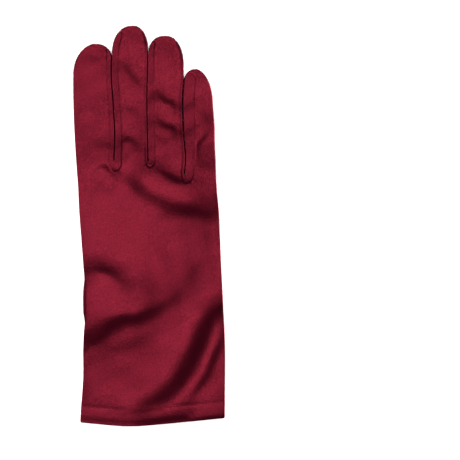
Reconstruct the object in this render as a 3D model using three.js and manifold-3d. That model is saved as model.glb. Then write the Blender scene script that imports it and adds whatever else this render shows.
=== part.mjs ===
// Wrist length dress glove in satin for the right hand, laid back up on a flat surface.
// Millimetres, +Z up. While it is drawn, Y is the distance from the lowest point of the hem
// and X the distance from the palm's middle, growing towards the little finger.

import * as THREE from "three";
import { mergeVertices } from "three/addons/utils/BufferGeometryUtils.js";
import Module from "manifold-3d";

const wasm = await Module();
wasm.setup();

// Driving dimensions
const palmWidth = 80;
const palmLength = 146.5;
const fingerLength = 83.5;
const palmHeight = 8.6;
const cuffHeight = 10.8;
const fingerHeight = 8;
const clothWall = 1.2;
const seamClearance = 0.3;
const hemClearance = 0.4;
const fingerGap = 0.9;
const seamInset = 3;
const crotchRise = 5;
const crotchLobe = 6.4;
const crotchBlend = 14;
const hemBow = 8;
const hemAllowance = 9;
const hemCloth = 1;
const thumbLength = 72;
const thumbWidth = 24;
const thumbHeight = 7;
const thumbHoleLength = 31;
const thumbHoleWidth = 15;
const thumbSpread = 13;
const moundSpread = 26;
const fingerCrown = 0.7;

// Fingers from the index finger's folded side to the little finger's closed side. Edges are
// shares of the palm's width from its middle, at the crotch, half way up and under the tip.
// Tips and tip roundings are shares of the finger length, leans shares of the palm's width.
// Seams are shares of the seam inset, 0 where the cloth runs round the side unbroken.
const fingerTable = [
  {
    name: "index", left: [-0.523, -0.549, -0.545], right: [-0.249, -0.259, -0.27],
    tip: 0.878, rounding: 0.172, lean: 0.01, leftSeam: 0, rightSeam: 1,
  },
  {
    name: "middle", left: [-0.244, -0.254, -0.268], right: [-0.006, -0.015, -0.016],
    tip: 1, rounding: 0.165, lean: 0.02, leftSeam: 1, rightSeam: 0.5,
  },
  {
    name: "ring", left: [-0.002, -0.009, -0.009], right: [0.259, 0.239, 0.235],
    tip: 0.929, rounding: 0.138, lean: 0.015, leftSeam: 1.1, rightSeam: 0.5,
  },
  {
    name: "little", left: [0.264, 0.245, 0.252], right: [0.482, 0.467, 0.447],
    tip: 0.698, rounding: 0.138, lean: -0.012, leftSeam: 1.1, rightSeam: 0,
  },
];

// Heights of the line through the crotches, from the index side to the little finger side,
// as shares of the palm's length.
const crotchLine = [1.008, 1, 1.015, 0.954, 0.94];

// The hand's outline below the crotches: height as a share of the palm's length, edges as
// shares of its width.
const handOutline = [
  { height: 0, left: -0.498, right: 0.544 },
  { height: 0.08, left: -0.491, right: 0.544 },
  { height: 0.214, left: -0.476, right: 0.545 },
  { height: 0.457, left: -0.469, right: 0.538 },
  { height: 0.693, left: -0.484, right: 0.515 },
  { height: 0.834, left: -0.498, right: 0.501 },
];

// Folds and dents of the back, each along a line of three points. Places and widths are
// shares of the palm's width and length, rises are shares of its height.
const foldTable = [
  {
    name: "crease under the knuckles",
    x: [-0.19, 0.05, 0.46], y: [0.979, 0.877, 0.838], width: 0.06, rise: -0.16,
  },
  {
    name: "slack over the ring finger",
    x: [0, 0.22, 0.45], y: [0.96, 0.913, 0.889], width: 0.08, rise: 0.2,
  },
  {
    name: "slack across the hand",
    x: [-0.25, 0, 0.4], y: [0.92, 0.822, 0.783], width: 0.09, rise: 0.22,
  },
  {
    name: "dent at the thumb side",
    x: [-0.42, -0.28, -0.19], y: [0.654, 0.618, 0.563], width: 0.05, rise: -0.12,
  },
  {
    name: "upper wrist fold",
    x: [-0.43, -0.15, 0.07], y: [0.461, 0.493, 0.599], width: 0.1, rise: 0.28,
  },
  {
    name: "crease at the wrist",
    x: [-0.44, -0.14, 0.29], y: [0.414, 0.414, 0.581], width: 0.05, rise: -0.12,
  },
  {
    name: "broad cuff fold",
    x: [-0.42, 0, 0.46], y: [0.222, 0.285, 0.552], width: 0.15, rise: 0.36,
  },
  {
    name: "deep cuff crease",
    x: [-0.05, 0.23, 0.51], y: [0.082, 0.222, 0.455], width: 0.06, rise: -0.2,
  },
  {
    name: "slack beside the crease",
    x: [0.11, 0.4, 0.5], y: [0.06, 0.194, 0.36], width: 0.07, rise: 0.24,
  },
  {
    name: "middle finger dent",
    x: [-0.17, -0.12, -0.08], y: [1.403, 1.375, 1.348], width: 0.045, rise: -0.12,
  },
  {
    name: "middle finger base dent",
    x: [-0.16, -0.13, -0.09], y: [1.125, 1.111, 1.097], width: 0.045, rise: -0.12,
  },
  {
    name: "ring finger upper dent",
    x: [0.1, 0.15, 0.2], y: [1.274, 1.258, 1.246], width: 0.045, rise: -0.12,
  },
  {
    name: "ring finger lower dent",
    x: [0.11, 0.15, 0.19], y: [1.183, 1.168, 1.152], width: 0.045, rise: -0.12,
  },
];

// Laid flat, the thumb points at the fingers under the palm: places are shares of the
// palm's width from its middle and of its length from the hem.
const thumbBaseX = -0.29;
const thumbTipX = -0.235;
const thumbBaseY = 0.4;
const thumbHoleY = 0.555;
const thumbTipShare = 0.76;
const thumbRounding = 0.16;

// How the faces are divided: shares across a finger and along its length, and rows below
// the crotches. The fourchettes reach up to one row under the fingertip seam's end.
const acrossFinger = {
  index: [0, 0.025, 0.09, 0.2, 0.4, 0.62, 0.83, 1],
  middle: [0, 0.06, 0.2, 0.4, 0.6, 0.8, 0.94, 1],
  ring: [0, 0.06, 0.2, 0.4, 0.6, 0.8, 0.94, 1],
  little: [0, 0.17, 0.38, 0.6, 0.8, 0.91, 0.975, 1],
};
const alongFinger = [0, 0.015, 0.035, 0.07, 0.13, 0.23, 0.35, 0.47, 0.59, 0.71, 0.81, 0.89, 0.95, 0.986, 1];
const sideSeamRow = 12;
const tipRow = alongFinger.length - 1;
const columnsEach = acrossFinger.index.length - 1;
const handRows = 22;
const fourchetteColumns = 4;
const sideSeamTaper = 0.12;
const fourchettePointShare = 0.9;
const fourchettePointClearances = 6;
const hemLowPlace = -0.145;
const hemRounding = 0.1;
const foldEndShare = 0.35;
const tipDroop = 0.4;
const backLiftShare = 0.8;
const liftedFoldShare = 0.5;

const clampShare = (value) => Math.min(1, Math.max(0, value));
const mix = (from, to, share) => from + (to - from) * share;

function ease(value) {
  const share = clampShare(value);
  return share * share * (3 - 2 * share);
}

// How much of a rolled edge is left at some distance from the outline: 1 on it, 0 past it.
function edgeLeft(distance, radius) {
  return 1 - clampShare(distance / Math.max(radius, 1e-6));
}

// A quarter roll: 0 at the outline, 1 where the cloth has turned flat.
function roll(distance, radius) {
  return Math.sqrt(1 - edgeLeft(distance, radius) ** 2);
}

// A value that passes through three points at 0, 0.5 and 1.
function throughThree([first, second, third], share) {
  const bend = 2 * (first + third) - 4 * second;
  return first + (third - first - bend) * share + bend * share * share;
}

// Distance from a point to a line of three points, and how far along that line it falls.
function alongLine(x, y, xs, ys) {
  let best = { distance: Infinity, share: 0 };
  for (let leg = 0; leg < 2; leg += 1) {
    const dx = xs[leg + 1] - xs[leg];
    const dy = ys[leg + 1] - ys[leg];
    const t = clampShare(((x - xs[leg]) * dx + (y - ys[leg]) * dy) / (dx * dx + dy * dy));
    const distance = Math.hypot(x - xs[leg] - dx * t, y - ys[leg] - dy * t);
    if (distance < best.distance) {
      best = { distance, share: (leg + t) / 2 };
    }
  }
  return best;
}

const folds = foldTable.map((fold) => ({
  xs: fold.x.map((share) => share * palmWidth),
  ys: fold.y.map((share) => share * palmLength),
  width: fold.width * palmWidth,
  rise: fold.rise * palmHeight,
}));

function foldRise(x, y) {
  let rise = 0;
  for (const fold of folds) {
    const { distance, share } = alongLine(x, y, fold.xs, fold.ys);
    const fade = mix(foldEndShare, 1, Math.sin(Math.PI * share));
    rise += fold.rise * fade * Math.exp(-((distance / fold.width) ** 2));
  }
  return rise;
}

// The thumb under the palm
const thumb = {
  base: thumbBaseY * palmLength,
  tip: thumbBaseY * palmLength + thumbLength,
  half: thumbHeight / 2,
};

function thumbCentre(y) {
  return mix(thumbBaseX, thumbTipX, clampShare((y - thumb.base) / thumbLength)) * palmWidth;
}

function thumbHalfWidth(y) {
  return (thumbWidth / 2) * mix(1, thumbTipShare, clampShare((y - thumb.base) / thumbLength));
}

// How much of the thumb's height is felt at a place, 1 over the thumb and 0 past the spread.
function overThumb(x, y, spread) {
  const beside = Math.max(0, Math.abs(x - thumbCentre(y)) - thumbHalfWidth(y));
  const beyond = Math.max(0, thumb.base - y, y - thumb.tip);
  return 1 - ease((Math.hypot(beside, beyond) - clothWall) / spread);
}

// The height of both faces' meeting line above the resting surface, held up by the thumb.
function middleHeight(x, y, half) {
  return half + (thumbHeight + seamClearance) * overThumb(x, y, thumbSpread);
}

// How far a face stands off that line, before its rolled edges are turned.
function faceStandOff(x, y, half, face) {
  if (face < 0) {
    return half;
  }
  const mound = overThumb(x, y, moundSpread);
  const lift = (thumbHeight + seamClearance) * backLiftShare * mound;
  const slack = foldRise(x, y) * mix(1, liftedFoldShare, mound);
  return 2 * half + lift + slack - middleHeight(x, y, half);
}

// Where the back and the palm meet, each stays half a seam clearance off the line.
function meeting(standOff) {
  return Math.max(standOff, seamClearance / 2);
}

// The hem's edge rises to both sides of its lowest point, which it rounds.
function hemHeight(x) {
  const share = x / palmWidth - hemLowPlace;
  return hemBow * (Math.hypot(share, hemRounding) - hemRounding);
}

// The fingers' places in millimetres
const fingers = fingerTable.map((finger, place) => {
  const pull = fingerGap / 2;
  const isFirst = place === 0;
  const isLast = place === fingerTable.length - 1;
  return {
    ...finger,
    place,
    isFirst,
    isLast,
    lefts: finger.left.map((share) => share * palmWidth + (isFirst ? 0 : pull)),
    rights: finger.right.map((share) => share * palmWidth - (isLast ? 0 : pull)),
    tipHeight: palmLength + finger.tip * fingerLength,
    capLength: finger.rounding * fingerLength,
    baseLeft: crotchLine[place] * palmLength,
    baseRight: crotchLine[place + 1] * palmLength,
    across: acrossFinger[finger.name],
  };
});

const crotches = fingers.slice(1).map((finger, place) => ({
  x: (fingers[place].rights[0] + finger.lefts[0]) / 2,
  y: finger.baseLeft,
}));

// The finger's own outline at a share of its length
function fingerOutline(finger, share) {
  const length = finger.tipHeight - (finger.baseLeft + finger.baseRight) / 2;
  const capShare = clampShare(1 - ((1 - share) * length) / finger.capLength);
  const cap = Math.sqrt(1 - capShare * capShare);
  const left = throughThree(finger.lefts, share);
  const right = throughThree(finger.rights, share);
  const centre = (left + right) / 2 + finger.lean * palmWidth * capShare * capShare;
  const half = ((right - left) / 2) * cap;
  return { left: centre - half, right: centre + half, centre, half, cap, capShare };
}

// Place of a seam beside a finger, side -1 at its left and 1 at its right. The cloth edges
// meet in a rounded notch at the crotch, and on the finger's side where the seam ends.
function seamX(finger, share, side) {
  const outline = fingerOutline(finger, share);
  const edge = side < 0 ? outline.left : outline.right;
  const seam = (side < 0 ? finger.leftSeam : finger.rightSeam) * seamInset;
  if (seam === 0) {
    return edge;
  }
  const crotch = crotches[side < 0 ? finger.place - 1 : finger.place];
  const rise = share * (finger.tipHeight - crotch.y);
  const taper = clampShare((alongFinger[sideSeamRow] - share) / sideSeamTaper);
  return mix(crotch.x, edge - side * Math.sqrt(taper) * seam, roll(rise, crotchRise));
}

// A point of the back (face 1) or the palm (face -1) of a finger, at a depth below the face
function fingerPoint(finger, across, share, face, depth, shift = { x: 0, y: 0 }) {
  const outline = fingerOutline(finger, share);
  const faceX = mix(seamX(finger, share, -1), seamX(finger, share, 1), across) + shift.x;
  const base = mix(finger.baseLeft, finger.baseRight, across);
  const y = mix(base, finger.tipHeight, share) - depth * outline.capShare ** 2 + shift.y;
  const free = ease(((finger.tipHeight - base) * share) / crotchBlend);
  const leftFree = finger.isFirst ? 1 : free;
  const rightFree = finger.isLast ? 1 : free;
  const half = mix(palmHeight, fingerHeight, free) / 2;
  const radius = half * outline.cap;
  const leftDistance = faceX - outline.left;
  const rightDistance = outline.right - faceX;
  const leftTurn = mix(1, roll(leftDistance, radius), leftFree);
  const rightTurn = mix(1, roll(rightDistance, radius), rightFree);
  const leftShare = leftFree * edgeLeft(leftDistance, radius);
  const rightShare = rightFree * edgeLeft(rightDistance, radius);
  const x = faceX + depth * outline.cap * (leftShare - rightShare);
  const sideways = (faceX - outline.centre) / Math.max(outline.half, clothWall);
  const crown = face > 0 ? fingerCrown * free * (1 - sideways * sideways) : 0;
  const standOff = (faceStandOff(x, y, half, face) + crown - depth) * outline.cap;
  const middle = middleHeight(x, y, half) - half * (1 - mix(tipDroop, 1, outline.cap));
  return new THREE.Vector3(x, y, middle + face * meeting(standOff * leftTurn * rightTurn));
}

// The hand's outline on one side at some distance from the hem, up to the finger's base
function handEdge(y, side) {
  const finger = side === "left" ? fingers[0] : fingers[fingers.length - 1];
  const base = side === "left"
    ? { height: finger.baseLeft, edge: finger.lefts[0] }
    : { height: finger.baseRight, edge: finger.rights[0] };
  const rows = [
    ...handOutline.map((row) => ({ height: row.height * palmLength, edge: row[side] * palmWidth })),
    base,
  ];
  const above = Math.max(1, rows.findIndex((row) => row.height >= Math.min(y, base.height)));
  const low = rows[above - 1];
  const high = rows[above];
  const share = clampShare((y - low.height) / (high.height - low.height));
  return mix(low.edge, high.edge, share);
}

// The hand below the crotches: its columns run on from the fingers' down to the hem.
function columnStart(column) {
  const finger = fingers[Math.min(fingers.length - 1, Math.floor(column / columnsEach))];
  const across = finger.across[column - finger.place * columnsEach];
  const left = finger.isFirst ? finger.lefts[0] : crotches[finger.place - 1].x;
  const right = finger.isLast ? finger.rights[0] : crotches[finger.place].x;
  return { x: mix(left, right, across), y: mix(finger.baseLeft, finger.baseRight, across) };
}

function handPoint(column, share, face, depth) {
  const start = columnStart(column);
  const firstLeft = handEdge(start.y, "left");
  const across = (start.x - firstLeft) / (handEdge(start.y, "right") - firstLeft);
  const left = handEdge(start.y * (1 - share), "left");
  const right = handEdge(start.y * (1 - share), "right");
  const faceX = mix(left, right, across);
  const half = mix(palmHeight, cuffHeight, share) / 2;
  const leftDistance = faceX - left;
  const rightDistance = right - faceX;
  const turned = roll(leftDistance, half) * roll(rightDistance, half);
  const x = faceX + depth * (edgeLeft(leftDistance, half) - edgeLeft(rightDistance, half));
  const y = mix(start.y, hemHeight(faceX), share);
  const standOff = (faceStandOff(x, y, half, face) - depth) * turned;
  return new THREE.Vector3(x, y, middleHeight(x, y, half) + face * meeting(standOff));
}

// Cloth: a sheet of named corners, each able to give its place at any depth below the face.
class Cloth {
  constructor() {
    this.corners = new Map();
    this.places = [];
    this.triangles = [];
  }

  corner(name, placeAt) {
    if (!this.corners.has(name)) {
      this.corners.set(name, this.places.length);
      this.places.push(placeAt);
    }
    return this.corners.get(name);
  }

  triangle(a, b, c) {
    if (a !== b && b !== c && c !== a) {
      this.triangles.push([a, b, c]);
    }
  }

  // The corners are given in turn around the quad, anticlockwise seen from outside.
  quad(corners, outwards) {
    const [a, b, c, d] = outwards ? corners : [...corners].reverse();
    this.triangle(a, b, c);
    this.triangle(a, c, d);
  }

  // The sheet given a thickness from one depth to another, with its raw edges closed.
  thickened(outerDepth, innerDepth) {
    const count = this.places.length;
    const points = [
      ...this.places.map((placeAt) => placeAt(outerDepth)),
      ...this.places.map((placeAt) => placeAt(innerDepth)),
    ];
    const edges = new Set();
    const faces = [];
    for (const [a, b, c] of this.triangles) {
      faces.push([a, b, c], [a + count, c + count, b + count]);
      edges.add(`${a},${b}`);
      edges.add(`${b},${c}`);
      edges.add(`${c},${a}`);
    }
    for (const edge of edges) {
      const [from, to] = edge.split(",").map(Number);
      if (!edges.has(`${to},${from}`)) {
        faces.push([to, from, from + count], [to, from + count, to + count]);
      }
    }
    const geometry = new THREE.BufferGeometry();
    const flat = points.flatMap((point) => point.toArray());
    geometry.setAttribute("position", new THREE.Float32BufferAttribute(flat, 3));
    geometry.setIndex(faces.flat());
    return geometry;
  }
}

// Trank: one cloth, folded at the index side and closed at the little finger side and the
// fingertips, with a slit between each two fingers. Its back (face 1) and its palm (face -1)
// are a solid each, and meet along the fold and the closing seams.
function makeTrank(face) {
  const cloth = new Cloth();
  const lastColumn = fingers.length * columnsEach;

  function handCorner(column, row) {
    const placeAt = (depth) => handPoint(column, row / handRows, face, depth);
    return cloth.corner(`hand ${column} ${row}`, placeAt);
  }

  function fingerCorner(finger, column, row) {
    if (row === 0) {
      return handCorner(finger.place * columnsEach + column, 0);
    }
    const spot = row === tipRow ? "tip" : `${column} ${row}`;
    const share = alongFinger[row];
    const across = finger.across[column];
    const placeAt = (depth) => fingerPoint(finger, across, share, face, depth);
    return cloth.corner(`${finger.name} ${spot}`, placeAt);
  }

  for (let row = 0; row < handRows; row += 1) {
    for (let column = 0; column < lastColumn; column += 1) {
      const corners = [
        handCorner(column, row + 1),
        handCorner(column + 1, row + 1),
        handCorner(column + 1, row),
        handCorner(column, row),
      ];
      cloth.quad(corners, face > 0);
    }
  }
  for (const finger of fingers) {
    for (let row = 0; row < tipRow; row += 1) {
      for (let column = 0; column < columnsEach; column += 1) {
        const corners = [
          fingerCorner(finger, column, row),
          fingerCorner(finger, column + 1, row),
          fingerCorner(finger, column + 1, row + 1),
          fingerCorner(finger, column, row + 1),
        ];
        cloth.quad(corners, face > 0);
      }
    }
  }
  return cloth.thickened(0, clothWall);
}

// Fourchette: the strip down the side of one finger, through the crotch and up the next.
// Its cut edges keep the seam clearance from the trank's.
function fourchettePoint(finger, side, row, across, depth) {
  const share = alongFinger[row];
  const crotch = crotches[side < 0 ? finger.place - 1 : finger.place];
  const rise = share * (finger.tipHeight - crotch.y);
  const free = ease(rise / crotchBlend);
  const column = side < 0 ? 0 : 1;
  const sideways = row === 0 ? 0 : side * seamClearance;
  const shift = { x: sideways, y: seamClearance * (1 - free) };
  const back = fingerPoint(finger, column, share, 1, depth, shift);
  const front = fingerPoint(finger, column, share, -1, depth, shift);
  const outline = fingerOutline(finger, share);
  const edge = (side < 0 ? outline.left : outline.right) - side * depth * free * outline.cap;
  const bulge = {
    x: mix(crotch.x, edge, roll(rise, fingerGap)),
    y: (back.y + front.y) / 2 + (crotchLobe - depth) * (1 - free),
  };
  const swell = { x: bulge.x - (back.x + front.x) / 2, y: bulge.y - (back.y + front.y) / 2 };
  const slope = Math.hypot(back.z - front.z, 4 * swell.x, 4 * swell.y);
  const trim = (free * seamClearance) / slope;
  const around = mix(trim, 1 - trim, across);
  const turn = 1 - (2 * around - 1) ** 2;
  const point = back.clone().lerp(front, around);
  point.x += swell.x * turn;
  point.y += swell.y * turn;
  return point;
}

// The strip's pointed end lies just under the place where the back and palm come together.
function fourchetteTip(finger, side, across, depth) {
  const wide = fourchettePoint(finger, side, sideSeamRow - 1, across, depth);
  const column = side < 0 ? 0 : 1;
  const seamEnd = fingerPoint(finger, column, alongFinger[sideSeamRow], 1, depth);
  seamEnd.y -= fourchettePointClearances * seamClearance;
  return wide.lerp(seamEnd, fourchettePointShare);
}

function makeFourchette(place) {
  const cloth = new Cloth();
  const stations = [];
  for (let row = sideSeamRow; row > 0; row -= 1) {
    stations.push({ finger: fingers[place], side: 1, row });
  }
  for (let row = 0; row <= sideSeamRow; row += 1) {
    stations.push({ finger: fingers[place + 1], side: -1, row });
  }

  function stripCorner(station, column) {
    const { finger, side, row } = stations[station];
    const across = column / fourchetteColumns;
    const pointAt = row === sideSeamRow
      ? (depth) => fourchetteTip(finger, side, across, depth)
      : (depth) => fourchettePoint(finger, side, row, across, depth);
    return cloth.corner(`${station} ${column}`, pointAt);
  }

  for (let station = 0; station < stations.length - 1; station += 1) {
    for (let column = 0; column < fourchetteColumns; column += 1) {
      const corners = [
        stripCorner(station, column),
        stripCorner(station, column + 1),
        stripCorner(station + 1, column + 1),
        stripCorner(station + 1, column),
      ];
      cloth.quad(corners, false);
    }
  }
  return cloth.thickened(0, clothWall);
}

// Cuff hem: the cloth turned up inside the opening, a closed band along its edge.
function makeCuffHem() {
  const cloth = new Cloth();
  const lastColumn = fingers.length * columnsEach;
  const rows = 2;

  function bandCorner(face, column, row) {
    const onEdge = column === 0 || column === lastColumn;
    const raise = (hemAllowance * row) / rows;
    const placeAt = (depth) => {
      const share = 1 - raise / columnStart(column).y;
      return handPoint(column, share, face, depth);
    };
    return cloth.corner(`${onEdge ? "edge" : face} ${column} ${row}`, placeAt);
  }

  for (const face of [1, -1]) {
    for (let row = 0; row < rows; row += 1) {
      for (let column = 0; column < lastColumn; column += 1) {
        const corners = [
          bandCorner(face, column, row),
          bandCorner(face, column + 1, row),
          bandCorner(face, column + 1, row + 1),
          bandCorner(face, column, row + 1),
        ];
        cloth.quad(corners, face > 0);
      }
    }
  }
  const outerDepth = clothWall + hemClearance;
  return cloth.thickened(outerDepth, outerDepth + hemCloth);
}

// Thumb: a flat pouch, closed all round until the thumb hole is cut through its upper face.
const acrossThumb = [0, 0.04, 0.15, 0.32, 0.5, 0.68, 0.85, 0.96, 1];
const alongThumb = [0, 0.025, 0.08, 0.17, 0.3, 0.43, 0.56, 0.69, 0.8, 0.89, 0.96, 1];

function thumbPoint(across, share, face, inset) {
  const y = mix(thumb.base + inset, thumb.tip - inset, share);
  const capShare = clampShare(1 - (0.5 - Math.abs(share - 0.5)) / thumbRounding);
  const cap = Math.sqrt(1 - capShare * capShare);
  const half = (thumbHalfWidth(y) - inset) * cap;
  const x = thumbCentre(y) + mix(-half, half, across);
  const radius = (thumb.half - inset) * cap;
  const turned = roll(Math.min(across, 1 - across) * 2 * half, radius);
  const middle = thumb.half * mix(tipDroop, 1, cap);
  return new THREE.Vector3(x, y, middle + face * (thumb.half - inset) * cap * turned);
}

function makeThumbPouch() {
  const cloth = new Cloth();
  const lastRow = alongThumb.length - 1;
  const lastColumn = acrossThumb.length - 1;

  function thumbCorner(face, column, row) {
    const onEdge = column === 0 || column === lastColumn;
    const isEnd = row === 0 || row === lastRow;
    const spot = isEnd ? "end" : `${onEdge ? "edge" : face} ${column}`;
    const placeAt = (depth) => thumbPoint(acrossThumb[column], alongThumb[row], face, depth);
    return cloth.corner(`${spot} ${row}`, placeAt);
  }

  for (const face of [1, -1]) {
    for (let row = 0; row < lastRow; row += 1) {
      for (let column = 0; column < lastColumn; column += 1) {
        const corners = [
          thumbCorner(face, column, row),
          thumbCorner(face, column + 1, row),
          thumbCorner(face, column + 1, row + 1),
          thumbCorner(face, column, row + 1),
        ];
        cloth.quad(corners, face > 0);
      }
    }
  }
  return cloth.thickened(0, clothWall);
}

// Cutting: a closed geometry as a solid, and a cut solid as a geometry again
function solidOf(geometry) {
  const bare = new THREE.BufferGeometry();
  bare.setAttribute("position", geometry.getAttribute("position"));
  bare.setIndex(geometry.getIndex());
  const merged = mergeVertices(bare, 1e-4);
  const mesh = new wasm.Mesh({
    numProp: 3,
    vertProperties: new Float32Array(merged.getAttribute("position").array),
    triVerts: new Uint32Array(merged.getIndex().array),
  });
  return new wasm.Manifold(mesh);
}

function geometryOf(solid) {
  const mesh = solid.getMesh();
  const geometry = new THREE.BufferGeometry();
  geometry.setAttribute("position", new THREE.BufferAttribute(mesh.vertProperties, 3));
  geometry.setIndex(new THREE.BufferAttribute(mesh.triVerts, 1));
  return geometry;
}

// The thumb hole: one oval cut through the palm and through the thumb's upper face below it.
function thumbHole() {
  const middleY = thumbHoleY * palmLength;
  const oval = new THREE.Shape();
  const centre = thumbCentre(middleY);
  oval.absellipse(centre, middleY, thumbHoleWidth / 2, thumbHoleLength / 2, 0, 2 * Math.PI);
  const bottom = thumbHeight / 2;
  const top = thumbHeight + seamClearance + 2 * clothWall;
  const options = { depth: top - bottom, bevelEnabled: false, curveSegments: 28 };
  const prism = new THREE.ExtrudeGeometry(oval, options);
  prism.translate(0, 0, bottom);
  prism.deleteAttribute("normal");
  prism.deleteAttribute("uv");
  return solidOf(mergeVertices(prism, 1e-4));
}

// Satin in deep wine red, a shade apart where the pieces face away from the light
function satin(colour) {
  return new THREE.MeshStandardMaterial({ color: colour, roughness: 0.45, metalness: 0 });
}

function piece(name, geometry, material) {
  geometry.computeVertexNormals();
  const mesh = new THREE.Mesh(geometry, material);
  mesh.name = name;
  return mesh;
}

const hole = thumbHole();
const glove = new THREE.Group();
glove.add(piece("trank_back", makeTrank(1), satin(0x8c1c30)));
glove.add(piece("trank_palm", geometryOf(solidOf(makeTrank(-1)).subtract(hole)), satin(0x8c1c30)));
glove.add(piece("thumb", geometryOf(solidOf(makeThumbPouch()).subtract(hole)), satin(0x8c1c30)));
for (let place = 0; place < fingers.length - 1; place += 1) {
  const name = `fourchette_${fingers[place].name}_${fingers[place + 1].name}`;
  glove.add(piece(name, makeFourchette(place), satin(0x861a2d)));
}
glove.add(piece("cuff_hem", makeCuffHem(), satin(0x861a2d)));

// The origin is on the resting surface, under the middle of the glove's outline.
const outerBox = new THREE.Box3().setFromObject(glove);
const middle = outerBox.getCenter(new THREE.Vector3());
glove.position.set(-middle.x, -middle.y, -outerBox.min.z);

export default glove;
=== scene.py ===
"""Wrist length dress glove in wine red satin, right hand, laid back up on a pale floor.

Millimetres while a piece is drawn, metres once it is a mesh. X runs across the palm towards
the little finger, Y along the hand towards the fingertips, Z up out of the back of the hand.
"""

import bmesh
import bpy
import numpy as np
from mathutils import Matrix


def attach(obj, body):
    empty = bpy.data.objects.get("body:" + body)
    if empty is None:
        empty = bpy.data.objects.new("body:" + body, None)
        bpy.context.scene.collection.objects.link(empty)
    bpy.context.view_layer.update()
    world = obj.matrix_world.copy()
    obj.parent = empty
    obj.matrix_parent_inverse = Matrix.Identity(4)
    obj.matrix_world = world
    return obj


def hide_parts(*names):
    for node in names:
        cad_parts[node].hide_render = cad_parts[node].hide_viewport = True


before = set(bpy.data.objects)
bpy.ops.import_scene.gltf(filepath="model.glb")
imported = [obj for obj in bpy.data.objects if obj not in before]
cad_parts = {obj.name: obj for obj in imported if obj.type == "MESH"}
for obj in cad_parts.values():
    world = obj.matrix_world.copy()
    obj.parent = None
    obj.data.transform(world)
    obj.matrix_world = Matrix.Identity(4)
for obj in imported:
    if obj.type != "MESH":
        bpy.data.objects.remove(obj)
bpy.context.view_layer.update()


# Trank
# The hand and the four fingers: one cloth of thin polyester satin, folded at the index side,
# sewn shut at the little finger side and the fingertips, slit between each two fingers.

MM = 0.001

# Outer edges of the hand and of the index and little fingers: (Y, X)
INDEX_EDGE = [
    (-116, -39.9), (-108, -39.6), (-100, -39.0), (-89, -38.2), (-68, -38.0), (-60, -37.5),
    (-55.5, -37.1), (-51, -37.8), (-43, -38.1), (-35, -37.8), (-31, -37.3), (-26, -37.7),
    (-6, -39.3), (8, -40.4), (21, -41.0), (35, -42.0), (56, -43.3), (70, -43.8), (95, -43.9),
    (106, -43.9),
]
LITTLE_EDGE = [
    (-116, 43.5), (-95, 43.6), (-68, 43.6), (-48, 42.7), (-20, 41.3), (-6, 40.7), (8, 40.1),
    (21, 38.9), (35, 38.4), (49, 37.8), (56, 37.7), (70, 36.7), (80, 36.2), (92, 36.1),
]

# Gaps between the fingers: (Y, X) of the middle of each gap, then the bottom of the U that
# the seam makes under it, and how far the gap ends above that bottom.
GAPS = [
    {"line": [(31, -20.0), (38, -20.2), (50, -19.7), (68, -20.5), (87, -21.8), (99, -21.6),
              (116, -21.4)], "foot": (-19.7, 31.2), "lobe": 6.6},
    {"line": [(33, -0.4), (37, -0.6), (50, -1.0), (72, -1.3), (100, -0.8), (116, -0.7)],
     "foot": (0.2, 33.6), "lobe": 3.6},
    {"line": [(23, 20.6), (29, 20.3), (36, 20.8), (57, 19.4), (72, 19.0), (85, 19.8),
              (100, 19.9)], "foot": (21.2, 24.6), "lobe": 4.4},
]

# Fingers: the tip, how long the rounding is on each side and how square, the distance of each
# side's seam from the finger's edge at the base, half way and near the tip, and how strongly
# the seams show at the shares of their length in SHOWN_AT.
SEAM_AT = (0, 0.5, 0.94)
SHOWN_AT = (0, 0.06, 0.3, 0.88, 1)
FINGERS = [
    {"name": "index", "tip": (-31.0, 104.4),
     "left_round": (17, 1.87), "right_round": (8, 2.1),
     "left_seam": None, "right_seam": (2.9, 2.5, 2.5),
     "seams_show": (2.0, 0.8, 0.35, 0.4, 0.9)},
    {"name": "middle", "tip": (-9.4, 114.8),
     "left_round": (15, 2.15), "right_round": (12, 2.0),
     "left_seam": (3.9, 3.4, 3.8), "right_seam": (1.2, 0.9, 0.9),
     "seams_show": (2.0, 0.8, 0.4, 0.3, 0.7)},
    {"name": "ring", "tip": (9.3, 109.0),
     "left_round": (12, 2.4), "right_round": (17, 2.15),
     "left_seam": (3.8, 3.7, 2.8), "right_seam": (1.4, 0.9, 0.9),
     "seams_show": (2.0, 0.7, 0.3, 0.3, 0.7)},
    {"name": "little", "tip": (26.3, 89.9),
     "left_round": (7, 2.0), "right_round": (17, 1.9),
     "left_seam": (4.6, 6.4, 6.4), "right_seam": None,
     "seams_show": (2.0, 0.8, 0.3, 0.4, 0.9)},
]

# Where the line under the fingers meets the outer edges
INDEX_BASE = 32.5
LITTLE_BASE = 22.7

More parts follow.
